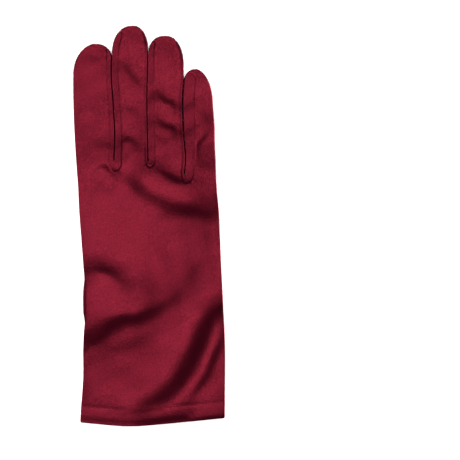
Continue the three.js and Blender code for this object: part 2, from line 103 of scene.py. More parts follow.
# Folds of the back. Each is a slope along a line of (X, Y, strength): the cloth climbs to the
# left of the line's direction or, with side -1, to its right. "steep" is the slope on the
# line, "down" and "up" how far the slope reaches down and up from it, "even" how much of the
# lower part lies below the cloth around it, and "back" how far the cloth takes to level out.
FOLDS = [
    {"name": "knuckle slope", "even": 0.5, "side": 1, "steep": 0.27, "down": 7.0,
     "up": 6.0, "back": 45,
     "line": [(-51.3, 35.2, 0.03), (-37.0, 33.5, 0.1), (-27.2, 31.7, 0.22),
              (-20.3, 30.0, 0.38), (-15.7, 28.0, 0.6), (-11.7, 25.7, 0.85),
              (-7.6, 22.3, 1.05), (-1.9, 17.9, 1.15), (3.9, 14.2, 1.15),
              (9.6, 11.3, 1.15), (15.4, 9.6, 1.15), (21.1, 8.5, 1.2), (26.9, 8.2, 1.3),
              (32.6, 7.3, 1.2), (38.4, 6.4, 0.7), (44.1, 5.3, 0.4)]},
    {"name": "palm", "even": 0.5, "side": 1, "steep": 0.075, "down": 14, "up": 14, "back": 40,
     "line": [(-50, -4, 0.7), (-20, -3, 0.8), (0, -4, 1.0), (20, -6, 1.2), (40, -8, 1.0)]},
    {"name": "under the ring finger", "even": 1, "side": -1, "steep": 0.22, "down": 2.4,
     "up": 2.4, "back": 14,
     "line": [(2.1, 33.5, 0.2), (5.0, 32.0, 0.5), (7.3, 30.6, 0.7), (9.6, 29.2, 0.9),
              (13.1, 27.1, 1.0), (16.5, 25.7, 1.1), (20.0, 24.6, 1.3), (22.8, 24.8, 0.8),
              (25.1, 26.6, 0.2)]},
    {"name": "under the index crotch", "even": 1, "side": 1, "steep": 0.24, "down": 2.6,
     "up": 2.4, "back": 14,
     "line": [(-34.1, 29.4, 0.2), (-31.2, 31.7, 0.6), (-28.3, 33.5, 1.0),
              (-24.9, 33.5, 1.2), (-21.4, 31.5, 0.7), (-18.6, 29.4, 0.2)]},
    {"name": "upper wrist arch", "even": 0, "side": -1, "steep": 0.23, "down": 8.5,
     "up": 3.0, "back": 35,
     "line": [(-41.0, -24.6, 0.3), (-35.2, -25.2, 0.55), (-30.1, -26.0, 1.0),
              (-24.9, -26.9, 1.1), (-20.3, -28.6, 0.8), (-16.3, -30.4, 0.28),
              (-12.2, -30.4, 0.08), (-5.3, -28.1, 0.06), (0.4, -25.8, 0.06),
              (6.2, -21.2, 0.04), (11.9, -17.1, 0.02)]},
    {"name": "wrist slope", "even": 0, "side": 1, "steep": 0.3, "down": 6.0,
     "up": 4.7, "back": 55,
     "line": [(-35.8, -72.9, 0.1), (-33.5, -70.0, 0.4), (-31.2, -67.2, 0.9),
              (-28.3, -63.4, 1.0), (-24.3, -59.1, 1.05), (-19.1, -55.7, 1.15),
              (-13.4, -53.4, 1.3), (-7.6, -53.4, 1.25), (-1.9, -51.6, 0.95),
              (3.9, -48.8, 0.75), (9.6, -45.0, 0.62), (15.4, -40.7, 0.45),
              (21.1, -34.4, 0.28), (26.9, -26.3, 0.2), (31.5, -18.9, 0.16),
              (33.8, -10.8, 0.1), (36.1, -2.8, 0.03)]},
    {"name": "wrist basin", "even": 0, "side": 1, "steep": 0.115, "down": 7,
     "up": 8, "back": 40,
     "line": [(-35.2, -68.3, 0.1), (-29.5, -68.9, 0.45), (-22.6, -69.5, 1),
              (-14.5, -69.5, 1), (-6.5, -67.7, 0.8), (0.4, -64.3, 0.6),
              (6.2, -59.1, 0.5), (11.3, -53.4, 0.35), (16.5, -46.5, 0.15),
              (22.3, -39.6, 0.1), (28.0, -31.5, 0.03)]},
    {"name": "small wrist crease", "even": 1, "side": 1, "steep": 0.16, "down": 2.4,
     "up": 2.4, "back": 14,
     "line": [(-41.0, -62.0, 0.2), (-37.5, -63.1, 0.5), (-34.7, -62.0, 0.6),
              (-31.8, -59.1, 0.7), (-28.3, -55.7, 0.6), (-24.9, -52.8, 0.3)]},
    {"name": "deep cuff slope", "even": 0, "side": -1, "steep": 0.42, "down": 8.5,
     "up": 6.2, "back": 55,
     "line": [(-18.0, -107.4, 0.1), (-7.6, -105.1, 0.5), (0.4, -102.5, 0.9),
              (5.0, -100.8, 1.05), (9.6, -98.2, 1.1), (15.4, -92.5, 1.1),
              (21.1, -83.5, 1.1), (26.9, -72.3, 1.1), (32.6, -60.5, 1.1),
              (37.2, -51.6, 1.0), (40.7, -46.5, 0.7), (44.1, -43.0, 0.4)]},
    {"name": "beside the deep slope", "even": 1, "side": 1, "steep": 0.24, "down": 2.6,
     "up": 3.0, "back": 10,
     "line": [(20.0, -104.0, 0.1), (24.0, -98.8, 0.5), (28.0, -93.6, 0.9),
              (32.0, -87.9, 1.0), (35.5, -80.4, 1), (39.3, -71.2, 1), (42.4, -62.6, 0.5),
              (45.3, -55.7, 0.2)]},
    {"name": "middle finger, upper", "even": 1, "side": -1, "steep": 0.14, "down": 2.2,
     "up": 2.2, "back": 12,
     "line": [(-15.7, 93.8, 0.3), (-13.4, 91.0, 0.9), (-10.5, 86.9, 1), (-7.6, 82.9, 1),
              (-5.3, 79.5, 0.5), (-4.2, 76.6, 0.1)]},
    {"name": "middle finger, half way", "even": 1, "side": -1, "steep": 0.07, "down": 2.0,
     "up": 2.0, "back": 12,
     "line": [(-16.3, 68.5, 0.3), (-12.8, 67.4, 1), (-9.4, 65.4, 1), (-5.9, 62.8, 0.8),
              (-4.2, 60.5, 0.2)]},
    {"name": "middle finger, foot", "even": 1, "side": -1, "steep": 0.22, "down": 2.4,
     "up": 2.0, "back": 12,
     "line": [(-16.3, 45.0, 0.2), (-14.8, 48.1, 0.9), (-12.8, 49.3, 1.1),
              (-10.5, 48.4, 1.0), (-8.5, 46.1, 0.8), (-7.1, 43.2, 0.2)]},
    {"name": "ring finger, upper", "even": 1, "side": -1, "steep": 0.22, "down": 2.4,
     "up": 2.2, "back": 12,
     "line": [(3.9, 74.9, 0.2), (6.2, 73.7, 0.8), (9.6, 71.4, 1.2), (12.5, 70.3, 1.2),
              (14.8, 68.3, 0.9), (16.5, 66.2, 0.2)]},
    {"name": "ring finger, half way", "even": 1, "side": -1, "steep": 0.22, "down": 2.4,
     "up": 2.2, "back": 12,
     "line": [(3.9, 59.9, 0.2), (6.2, 58.5, 0.8), (9.6, 57.0, 1.2), (12.5, 56.2, 1.2),
              (14.8, 54.2, 0.9), (16.5, 51.9, 0.2)]},
    {"name": "ring finger, lower", "even": 1, "side": -1, "steep": 0.09, "down": 2.0,
     "up": 2.0, "back": 12,
     "line": [(1.0, 52.4, 0.2), (3.9, 50.7, 1), (7.3, 48.4, 0.9), (9.6, 46.1, 0.3)]},
    {"name": "little finger", "even": 1, "side": -1, "steep": 0.26, "down": 2.4,
     "up": 2.0, "back": 12,
     "line": [(35.5, 53.6, 0.2), (33.2, 51.6, 0.8), (31.5, 49.9, 1.2), (29.2, 47.6, 1.2),
              (27.4, 44.4, 1), (26.3, 40.9, 0.5), (25.7, 37.5, 0.1)]},
    {"name": "index finger", "even": 1, "side": -1, "steep": 0.07, "down": 2.4,
     "up": 2.4, "back": 12,
     "line": [(-35.2, 68.5, 0.2), (-32.4, 66.8, 0.9), (-29.5, 65.1, 1),
              (-26.6, 63.9, 0.4)]},
]

# Soft dents: (X, Y) of both ends, half width, depth
DENTS = [
    ((-34.1, 98.4), (-29.5, 96.1), 2.6, 0.16),
    ((-3.0, 108.2), (0.4, 104.2), 2.2, 0.2),
    ((-37.3, -32.1), (-37.3, -55.7), 0.6, 0.25),
    ((23.4, -106.3), (25.1, -110.3), 1.4, 0.15),
    ((-39.8, -120), (-39.8, -84), 4.0, 0.45),
]
DENT_ENDS = 0.55


def ease(value):
    share = np.clip(value, 0, 1)
    return share * share * (3 - 2 * share)


def mix(low, high, share):
    return low + (high - low) * share


def through(points, at):
    """A smooth curve through (where, value) points, read at some places."""
    where, value = np.array(points, float).T
    slope = np.gradient(value, where)
    at = np.clip(at, where[0], where[-1])
    left = np.clip(np.searchsorted(where, at, side="right") - 1, 0, len(where) - 2)
    span = where[left + 1] - where[left]
    t = (at - where[left]) / span
    return (
        (2 * t**3 - 3 * t**2 + 1) * value[left]
        + (t**3 - 2 * t**2 + t) * span * slope[left]
        + (3 * t**2 - 2 * t**3) * value[left + 1]
        + (t**3 - t**2) * span * slope[left + 1]
    )


def smooth_line(points):
    """A line of points rounded into a curve of steps of about 1 mm."""
    points = np.array(points, float)
    legs = np.hypot(*np.diff(points, axis=0).T)
    along = np.concatenate([[0], np.cumsum(legs)])
    if len(points) == 2:
        spots = np.linspace(0, along[-1], 8)
        return np.column_stack([np.interp(spots, along, part) for part in points.T])
    spots = np.linspace(0, along[-1], max(8, int(along[-1])))
    return np.column_stack([through(list(zip(along, part)), spots) for part in points.T])


def nearest(x, y, line):
    """Distance to a line, positive to the left of its direction, the share of its length, and
    how far past one of its ends a place lies. Past an end the distance is to the line run on."""
    best = np.full(x.shape, np.inf)
    offset = np.zeros(x.shape)
    share = np.zeros(x.shape)
    past = np.zeros(x.shape)
    legs = np.diff(line, axis=0)
    count = len(legs)
    for k, ((ax, ay), (dx, dy)) in enumerate(zip(line[:-1], legs)):
        size = np.hypot(dx, dy)
        if size == 0:
            continue
        t = ((x - ax) * dx + (y - ay) * dy) / size**2
        held = np.clip(t, 0, 1)
        away = np.hypot(x - ax - dx * held, y - ay - dy * held)
        closer = away < best
        best = np.where(closer, away, best)
        sideways = (dx * (y - ay) - dy * (x - ax)) / size
        runs_on = ((t < 0) & (k == 0)) | ((t > 1) & (k == count - 1))
        signed = np.where(runs_on, sideways, np.where(sideways < 0, -away, away))
        offset = np.where(closer, signed, offset)
        share = np.where(closer, (k + held) / count, share)
        past = np.where(closer, np.where(runs_on, np.abs(t - held) * size, 0), past)
    return offset, share, past


def roll(distance, radius):
    """A quarter roll: 0 on the outline, 1 where the cloth has turned flat."""
    left = 1 - np.clip(distance / radius, 0, 1)
    return np.sqrt(1 - left * left)


# The hem: its corners, its lowest place, and the shallow curve between them
HEM_LEFT = -39.9
HEM_RIGHT = 43.5
HEM_LOWEST = -115.0
HEM_RISE = 8.0
HEM_HALF = 80.0
HEM_SHIFT = 0.145
HEM_SOFT = 0.1


def hem_y(x):
    """The hem's shallow curve, lowest a little left of the middle."""
    return HEM_LOWEST + HEM_RISE * (np.hypot(x / HEM_HALF + HEM_SHIFT, HEM_SOFT) - HEM_SOFT)


# The thumb under the palm: where it starts, how long it is, its middle at both ends, its half
# width and how it tapers, and how far off its outline the cloth over it starts to fall
THUMB_FOOT = -56.4
THUMB_LONG = 72.0
THUMB_X = (-23.1, -18.7)
THUMB_HALF = 12.0
THUMB_TAPER = 0.76
LIFT_ASIDE = 0.2
LIFT_FROM = 1.2


def over_thumb(x, y, spread):
    """How much of the folded thumb's height is felt at a place."""
    t = np.clip((y - THUMB_FOOT) / THUMB_LONG, 0, 1)
    aside = np.abs(x - mix(*THUMB_X, t) + LIFT_ASIDE)
    beside = np.maximum(0, aside - THUMB_HALF * mix(1, THUMB_TAPER, t))
    beyond = np.maximum(0, np.maximum(THUMB_FOOT - y, y - THUMB_FOOT - THUMB_LONG))
    return 1 - ease((np.hypot(beside, beyond) - LIFT_FROM) / spread)


# How a fold behaves: the share of its line over which it starts and ends, the length of line
# that gives a place its strength (a share of the whole, held between two lengths, and wider
# away from the line), how far the fold runs on past its ends, and how tightly it turns
FOLD_ENDS = 0.1
REACH_SHARE = 12.0
LEAST_REACH = 1.2
MOST_REACH = 4.0
REACH_WIDENS = 0.7
RUNS_PAST = 2.5
FOLD_TURN = 1.2
FOLD_HEIGHT = 0.83


def fold_height(x, y, fold):
    """Height of one fold. Its strength comes from the whole stretch of line nearby, so that
    the fold spreads and fades like cloth where its line bends or ends."""
    spots = np.array(fold["line"])
    line = smooth_line(spots[:, :2])
    away, _, past = nearest(x, y, line)
    legs = np.hypot(*np.diff(spots[:, :2], axis=0).T)
    along = np.concatenate([[0], np.cumsum(legs)]) / legs.sum()
    here = np.linspace(0, 1, len(line))
    strengths = np.interp(here, along, spots[:, 2])
    strengths = strengths * ease(here / FOLD_ENDS) * ease((1 - here) / FOLD_ENDS)
    gap = np.abs(away)
    reach = np.clip(legs.sum() / REACH_SHARE, LEAST_REACH, MOST_REACH)
    total, weights = np.zeros(x.shape), np.full(x.shape, 1e-9)
    for (line_x, line_y), strength in zip(line, strengths):
        beyond = (x - line_x) ** 2 + (y - line_y) ** 2 - gap**2
        weight = np.exp(-beyond / (2 * (reach + REACH_WIDENS * gap) ** 2))
        total += weight * strength
        weights += weight
    strength = total / weights * np.exp(-((past / (RUNS_PAST * reach)) ** 2))
    away = away * fold["side"]
    down, up = fold["down"], fold["up"]
    fall = 1 - fold["even"] - np.tanh(FOLD_TURN * np.maximum(-away, 0) / down)
    climb = np.tanh(FOLD_TURN * np.maximum(away, 0) / up)
    clear = np.maximum(np.maximum(0, away - up), -away - down)
    levels_out = np.exp(-((clear / fold["back"]) ** 2))
    return fold["steep"] * strength * FOLD_HEIGHT * (down * fall + up * climb) * levels_out


# The cloth leans down towards the little finger side between the wrist and the knuckles, and is
# a little uneven all over: the height of two pairs of crossed waves, with each wave's lengths
# over X and Y and its offset
LEAN = 0.0008
LEAN_FROM_X = 8.0
LEAN_Y = (-52.0, 24.0)
LEAN_BLEND = 14.0
WAVES = [
    (0.11, (5.1, 8.3, 1.3), (-17.0, 6.7, 0.4)),
    (0.05, (2.9, -5.2, 2.1), (7.7, 3.4, 0.0)),
]


def slack(x, y):
    """Height of the folds and of the cloth's own unevenness over the back."""
    height = np.zeros(x.shape)
    for fold in FOLDS:
        height += fold_height(x, y, fold)
    for start, end, width, depth in DENTS:
        away, share, past = nearest(x, y, smooth_line([start, end]))
        near = np.exp(-(away**2 + past**2) / width**2)
        height -= depth * near * mix(DENT_ENDS, 1, np.sin(np.pi * share))
    low_y, high_y = LEAN_Y
    leaning = ease((y - low_y) / LEAN_BLEND) * ease((high_y - y) / LEAN_BLEND)
    height -= LEAN * np.maximum(0, x - LEAN_FROM_X) ** 2 * leaning
    for size, (x1, y1, from1), (x2, y2, from2) in WAVES:
        height += size * np.sin(x / x1 + y / y1 + from1) * np.sin(x / x2 + y / y2 + from2)
    return height


# The gaps between the fingers, and how much they open just above their bottom
FINGER_GAP = 0.03
CROTCH_OPEN = 0.03
CROTCH_LONG = 2.2


def gap_half(gap, y):
    """Half the gap between two fingers, which opens a little just above its bottom."""
    bottom = gap["foot"][1] + gap["lobe"]
    return FINGER_GAP / 2 + CROTCH_OPEN * np.exp(-((y - bottom) / CROTCH_LONG) ** 2)


def finger_outline(place, share):
    """Left and right edges (X, Y) of a finger at shares of its length."""
    finger = FINGERS[place]
    tip_x, tip_y = finger["tip"]
    sides = []
    for side in (-1, 1):
        if side < 0 and place == 0:
            base, edge, opened = INDEX_BASE, INDEX_EDGE, 0
        elif side > 0 and place == len(FINGERS) - 1:
            base, edge, opened = LITTLE_BASE, LITTLE_EDGE, 0
        else:
            gap = GAPS[place - 1 if side < 0 else place]
            base = gap["foot"][1]
            edge = [(y, x - side * FINGER_GAP / 2) for y, x in gap["line"]]
            opened = -side * (gap_half(gap, mix(base, tip_y, share)) - FINGER_GAP / 2)
        y = mix(base, tip_y, share)
        length, power = finger["left_round" if side < 0 else "right_round"]
        turned = np.clip((y - tip_y + length) / length, 0, 1)
        cap = (1 - turned**power) ** (1 / power)
        sides.append((tip_x + (through(edge, y) + opened - tip_x) * cap, y))
    return sides


# The finger seams: where they end as a share of the finger, over what share they turn in to
# the tip, and how far up from the crotch they take to run straight
SEAM_END = 0.965
SEAM_TURN = 0.05
CROTCH_RISE = 5.0


def seam_line(place, side, share):
    """Where a finger's seam runs on the back: the outline itself where it has none."""
    edge_x, y = finger_outline(place, share)[0 if side < 0 else 1]
    finger = FINGERS[place]
    insets = finger["left_seam" if side < 0 else "right_seam"]
    if insets is None:
        return edge_x, y
    foot = GAPS[place - 1 if side < 0 else place]["foot"]
    inset = through(list(zip(SEAM_AT, insets)), share)
    inset = inset * np.sqrt(np.clip((SEAM_END - share) / SEAM_TURN, 0, 1))
    rise = share * (finger["tip"][1] - foot[1])
    return mix(foot[0], edge_x - side * inset, roll(rise, CROTCH_RISE)), y


# Rows of a finger, as shares of its length, close together at its foot and its tip, and rows
# of the hand, close together under the fingers
FINGER_SHARES = np.concatenate([
    np.array([0, 0.004, 0.009, 0.015, 0.022, 0.031]),
    np.linspace(0.043, 0.86, 58),
    1 - 0.14 * np.linspace(1, 0, 19)[1:] ** 1.5,
])
HAND_SHARES = np.concatenate([[0, 0.0022, 0.0046, 0.008, 0.0125, 0.0185],
                              np.linspace(0.026, 1, 143)])


def outline_of_glove():
    """The glove's outline seen from above, hem left out, from the index side round."""
    left_y = mix(INDEX_BASE, hem_y(np.array(HEM_LEFT)), HAND_SHARES[::-1])
    parts = [np.column_stack([through(INDEX_EDGE, left_y), left_y])]
    for place in range(len(FINGERS)):
        (left_x, left_y), (right_x, right_y) = finger_outline(place, FINGER_SHARES)
        if place > 0:
            keep = left_y > GAPS[place - 1]["foot"][1] + GAPS[place - 1]["lobe"]
            left_x, left_y = left_x[keep], left_y[keep]
        parts.append(np.column_stack([left_x, left_y]))
        if place < len(FINGERS) - 1:
            bottom = GAPS[place]["foot"][1] + GAPS[place]["lobe"]
            keep = right_y > bottom
            right_x, right_y = right_x[keep], right_y[keep]
        parts.append(np.column_stack([right_x, right_y])[::-1])
        if place < len(FINGERS) - 1:
            middle = through(GAPS[place]["line"], np.array(bottom))
            half = gap_half(GAPS[place], bottom)
            parts.append(np.array([[middle - half, bottom], [middle, bottom - half],
                                   [middle + half, bottom]]))
    right_y = mix(LITTLE_BASE, hem_y(np.array(HEM_RIGHT)), HAND_SHARES)
    parts.append(np.column_stack([through(LITTLE_EDGE, right_y), right_y]))
    return np.concatenate(parts)


OUTLINE = outline_of_glove()


# Heights laid flat: the hand under the fingers, the cuff at its hem, the fingers and their soft
# crown, the share of a height that lies below the side fold, and the least height above it
PALM_THICK = 7.4
CUFF_THICK = 8.6
CUFF_FROM = 20.0
CUFF_LONG = 135.0
FINGER_THICK = 7.2
FINGER_FROM = 28.0
SEAM_BLEND = 14.0
FINGER_CROWN = 0.12
CROWN_WIDE = 9.0
SIDE_FOLD_SHARE = 0.45
LEAST_RISE = 0.6

# Side folds: radius of the roll, and the soft shoulder beside it
EDGE_ROLL = 0.25
EDGE_SHOULDER = 0.04
SHOULDER_WIDE = 1.6

# How far the thumb lifts the palm and the back over it, and how far around it
THUMB_LIFT = 5.6
LIFT_SPREAD = 13.0
BACK_LIFT = 1.6
BACK_SPREAD = 60.0

# The hem's line of stitches with its groove, the raised band under it, how deep and how far up
# the edge rolls at the left, the middle and the right, and from where over what width it changes
HEM_STITCH = 9.2
STITCH_GROOVE = 0.12
GROOVE_WIDE = 0.8
HEM_BAND = 0.05
BAND_SLOPE = 3.0
HEM_ROLLS = [(0.45, 2.7), (0.72, 2.7), (0.3, 1.0)]
LEFT_TO_MIDDLE = (-40.0, 30.0)
MIDDLE_TO_RIGHT = (20.0, 7.0)


def hem_sink(x, y):
    """How far the hem's stitches and its rolled edge lie below the cloth around them."""
    up = y - hem_y(x)
    groove = STITCH_GROOVE * np.exp(-((up - HEM_STITCH) / GROOVE_WIDE) ** 2)
    band = HEM_BAND * ease((HEM_STITCH - up) / BAND_SLOPE)
    left, middle, right = (depth * np.exp(-(up / reach) ** 2) for depth, reach in HEM_ROLLS)
    roll_in = mix(left, middle, ease((x - LEFT_TO_MIDDLE[0]) / LEFT_TO_MIDDLE[1]))
    roll_in = mix(roll_in, right, ease((x - MIDDLE_TO_RIGHT[0]) / MIDDLE_TO_RIGHT[1]))
    return groove - band + roll_in


def skin_height(x, y, face, to_edge):
    """Height of the back (face 1) or the palm (face -1) at a place."""
    free = ease((y - FINGER_FROM) / SEAM_BLEND)
    hand = mix(PALM_THICK, CUFF_THICK, np.clip((CUFF_FROM - y) / CUFF_LONG, 0, 1))
    thick = mix(hand, FINGER_THICK, free)
    bottom = THUMB_LIFT * over_thumb(x, y, LIFT_SPREAD)
    even_top = thick + BACK_LIFT * over_thumb(x, y, BACK_SPREAD)
    middle = mix(bottom, even_top, SIDE_FOLD_SHARE)
    turned = roll(to_edge, EDGE_ROLL)
    if face < 0:
        return middle - (middle - bottom) * turned
    crown = FINGER_CROWN * free * ease(to_edge / CROWN_WIDE)
    shoulder = EDGE_SHOULDER * np.exp(-to_edge / SHOULDER_WIDE)
    top = even_top + crown - shoulder + slack(x, y) - hem_sink(x, y)
    return middle + (np.maximum(top, middle + LEAST_RISE) - middle) * turned


def edge_distance(x, y):
    """Distance of a place from the glove's outline."""
    away, _, past = nearest(x, y, OUTLINE)
    return np.hypot(away, past)


# The cloth's thickness, the distance at which points are one, and the angle in radians past
# which the shading breaks at a fold
CLOTH = 0.5
WELD = 0.002
SHARP_FOLD = 0.8


def mesh_piece(name, points, quads, cloth=CLOTH):
    """A smooth mesh from points in millimetres, given the cloth's thickness inwards."""
    mesh = bpy.data.meshes.new(name)
    mesh.from_pydata((np.asarray(points) * MM).tolist(), [], [list(map(int, q)) for q in quads])
    work = bmesh.new()
    work.from_mesh(mesh)
    bmesh.ops.remove_doubles(work, verts=work.verts, dist=WELD * MM)
    loose = [v for v in work.verts if not v.link_faces]
    bmesh.ops.delete(work, geom=loose, context="VERTS")
    for edge in work.edges:
        creased = edge.is_boundary or edge.calc_face_angle(0) >= SHARP_FOLD
        edge.smooth = not creased
    work.to_mesh(mesh)
    work.free()
    mesh.shade_smooth()
    piece = bpy.data.objects.new(name, mesh)
    bpy.context.scene.collection.objects.link(piece)
    wall = piece.modifiers.new("cloth thickness", "SOLIDIFY")
    wall.thickness = cloth * MM
    wall.offset = -1
    wall.use_even_offset = False
    wall.material_offset = 1
    return piece


def grid_quads(first, rows, columns, upwards):
    """Faces of a grid of points whose rows run upwards in Y and columns in X."""
    faces = []
    for r in range(rows - 1):
        for c in range(columns - 1):
            a = first + r * columns + c
            quad = [a, a + 1, a + 1 + columns, a + columns]
            faces.append(quad if upwards else quad[::-1])
    return faces


def add_grid(points, quads, grid, upwards, inside=None):
    """Adds a grid of X, Y and Z and its faces, but for those wholly inside an opening."""
    first = sum(len(p) for p in points)
    points.append(np.column_stack([part.ravel() for part in grid]))
    faces = grid_quads(first, *grid[0].shape, upwards)
    if inside is not None:
        inside = inside.ravel()
        faces = [q for q in faces if not all(inside[v - first] for v in q)]
    quads += faces


# Columns of a finger and how much they bunch at its sides, and how far the first row sags
# between two crotches
FINGER_COLUMNS = 24
BUNCHED = 0.8
BASE_SAG = 4.0
BASE_SAG_SHARE = 0.03


def bunched(count, share):
    """Places from 0 to 1, evenly spread with share 0 and close together at both ends with 1."""
    even = np.linspace(0, 1, count + 1)
    return mix(even, (1 - np.cos(np.pi * even)) / 2, share)


def finger_grid(place):
    """Places of a finger's cloth between its seams, base row first."""
    share = FINGER_SHARES[:, None]
    left_x, left_y = seam_line(place, -1, share)
    right_x, right_y = seam_line(place, 1, share)
    across = bunched(FINGER_COLUMNS, BUNCHED)[None, :]
    sag = BASE_SAG * across * (1 - across) * np.exp(-share / BASE_SAG_SHARE)
    return mix(left_x, right_x, across), mix(left_y, right_y, across) - sag


# Sewing of the finger seams: depth and half width of the groove, how much its depth comes and
# goes with the stitches and in how many waves, the puckers across it, the swell of the back's
# cloth beside it (height, distance, half width), and how the strip falls away from it
SEAM_GROOVE = 0.2
GROOVE_HALF = 0.42
STITCHWORK = 0.35
STITCH_WAVES = (210, 97)
PUCKER = 0.07
PUCKER_WAVES = 120
PUCKER_HALF = 2.2
MOST_PUCKER = 0.6
SWELL = (0.05, 1.2, 0.8)
STRIP_FALL = 0.09
STRIP_WIDE = 4.0

# Points of a seam's line, closer together at its foot
SEAM_POINTS = 120
FOOT_CLOSER = 1.3


def seam_dip(x, y, cloth):
    """Depth of the groove at the seams, with its small puckers. The back's cloth (1) swells
    beside the seam, and the strip's (-1) lies a little lower."""
    dip = np.zeros(x.shape)
    for place, finger in enumerate(FINGERS):
        for side in (-1, 1):
            if finger["left_seam" if side < 0 else "right_seam"] is None:
                continue
            spots = np.linspace(0, SEAM_END, SEAM_POINTS) ** FOOT_CLOSER
            line = np.column_stack(seam_line(place, side, spots))
            away, share, past = nearest(x, y, line)
            away = np.hypot(away, past)
            shown = np.interp(share, SHOWN_AT, finger["seams_show"])
            long_wave, short_wave = (waves * share for waves in STITCH_WAVES)
            stitchwork = 1 + STITCHWORK * (np.sin(long_wave + place)
                                           * np.sin(short_wave + 2 * place))
            groove = SEAM_GROOVE * np.exp(-(away / GROOVE_HALF) ** 2) * stitchwork
            puckers = (PUCKER * np.sin(PUCKER_WAVES * share + place)
                       * np.exp(-(away / PUCKER_HALF) ** 2))
            here = groove * shown + puckers * np.minimum(shown, MOST_PUCKER)
            if cloth > 0:
                high, out, half = SWELL
                here = here - high * np.exp(-((away - out) / half) ** 2)
            else:
                here = here + STRIP_FALL * np.minimum(away, STRIP_WIDE)
            dip = np.where(np.abs(here) > np.abs(dip), here, dip)
    return dip


# The oval hole in the palm that the thumb is sewn into, and its middle, as a share of it, from
# which places aren't pushed all the way out
THUMB_HOLE = {"x": -21.8, "y": -33.7, "half_wide": 7.4, "half_long": 15.4}
HOLE_MIDDLE = 0.2


def past_thumb_hole(x, y):
    """Places pushed out of the oval thumb hole, and which of them were inside it."""
    from_x, from_y = x - THUMB_HOLE["x"], y - THUMB_HOLE["y"]
    out = np.hypot(from_x / THUMB_HOLE["half_wide"], from_y / THUMB_HOLE["half_long"])
    push = np.where(out < 1, 1 / np.maximum(out, HOLE_MIDDLE), 1)
    return THUMB_HOLE["x"] + from_x * push, THUMB_HOLE["y"] + from_y * push, out < 1


def cloth_height(x, y, face, away):
    """Height of the trank's cloth, with its seams on the back."""
    z = skin_height(x, y, face, away)
    return z - seam_dip(x, y, 1) * (away > 0) if face > 0 else z


def finger_away(place, x, y):
    """Distance of a finger's cloth from the outline, and 0 where it turns over."""
    away = edge_distance(x, y)
    away[-1, :] = 0
    if place == 0:
        away[:, 0] = 0
    if place == len(FINGERS) - 1:
        away[:, -1] = 0
    closed = FINGER_SHARES >= SEAM_END
    away[closed, 0] = 0
    away[closed, -1] = 0
    return away


def hand_grid(finger_rows):
    """Places of the hand's cloth, from the hem up to the first row of each finger."""
    start_x = [x[0, :-1] for x, _ in finger_rows] + [finger_rows[-1][0][0, -1:]]
    start_y = [y[0, :-1] for _, y in finger_rows] + [finger_rows[-1][1][0, -1:]]
    start_x, start_y = np.concatenate(start_x), np.concatenate(start_y)
    low = HAND_SHARES[::-1, None]
    left_edge = through(INDEX_EDGE, mix(INDEX_BASE, hem_y(np.array(HEM_LEFT)), low))
    right_edge = through(LITTLE_EDGE, mix(LITTLE_BASE, hem_y(np.array(HEM_RIGHT)), low))
    across = (start_x - start_x[0]) / (start_x[-1] - start_x[0])
    x = mix(left_edge, right_edge, across[None, :])
    return x, mix(start_y[None, :], hem_y(x), low)


def make_trank():
    """The back and the palm: a grid for each finger and one for the hand, welded together."""
    points, quads = [], []
    for face in (1, -1):
        finger_rows = [finger_grid(place) for place in range(len(FINGERS))]
        for place, (x, y) in enumerate(finger_rows):
            z = cloth_height(x, y, face, finger_away(place, x, y))
            add_grid(points, quads, (x, y, z), face > 0)
        x, y = hand_grid(finger_rows)
        inside = None
        if face < 0:
            x, y, inside = past_thumb_hole(x, y)
        away = edge_distance(x, y)
        away[:, 0] = 0
        away[:, -1] = 0
        z = cloth_height(x, y, face, away)
        add_grid(points, quads, (x, y, z), face > 0, inside)
    return mesh_piece("trank", np.concatenate(points), quads)


def linear(value):
    """An sRGB hex colour as linear red, green, blue and alpha."""
    parts = [int(value[i:i + 2], 16) / 255 for i in (1, 3, 5)]
    return [*((p / 12.92 if p <= 0.04045 else ((p + 0.055) / 1.055) ** 2.4) for p in parts), 1]


def add_node(tree, kind, settings=None, **links):
    """Adds a node, sets its fields, and sets or links its inputs by name, or by i and place."""
    node = tree.nodes.new(kind)
    for field, value in (settings or {}).items():
        setattr(node, field, value)
    for name, value in links.items():
        by_place = name[0] == "i" and name[1:].isdigit()
        socket = node.inputs[int(name[1:]) if by_place else name.replace("_", " ")]
        if isinstance(value, bpy.types.NodeSocket):
            tree.links.new(value, socket)
        else:
            socket.default_value = value
    return node


GRAIN_PER_MM = 1.3
CLOUD_PER_MM = 0.06


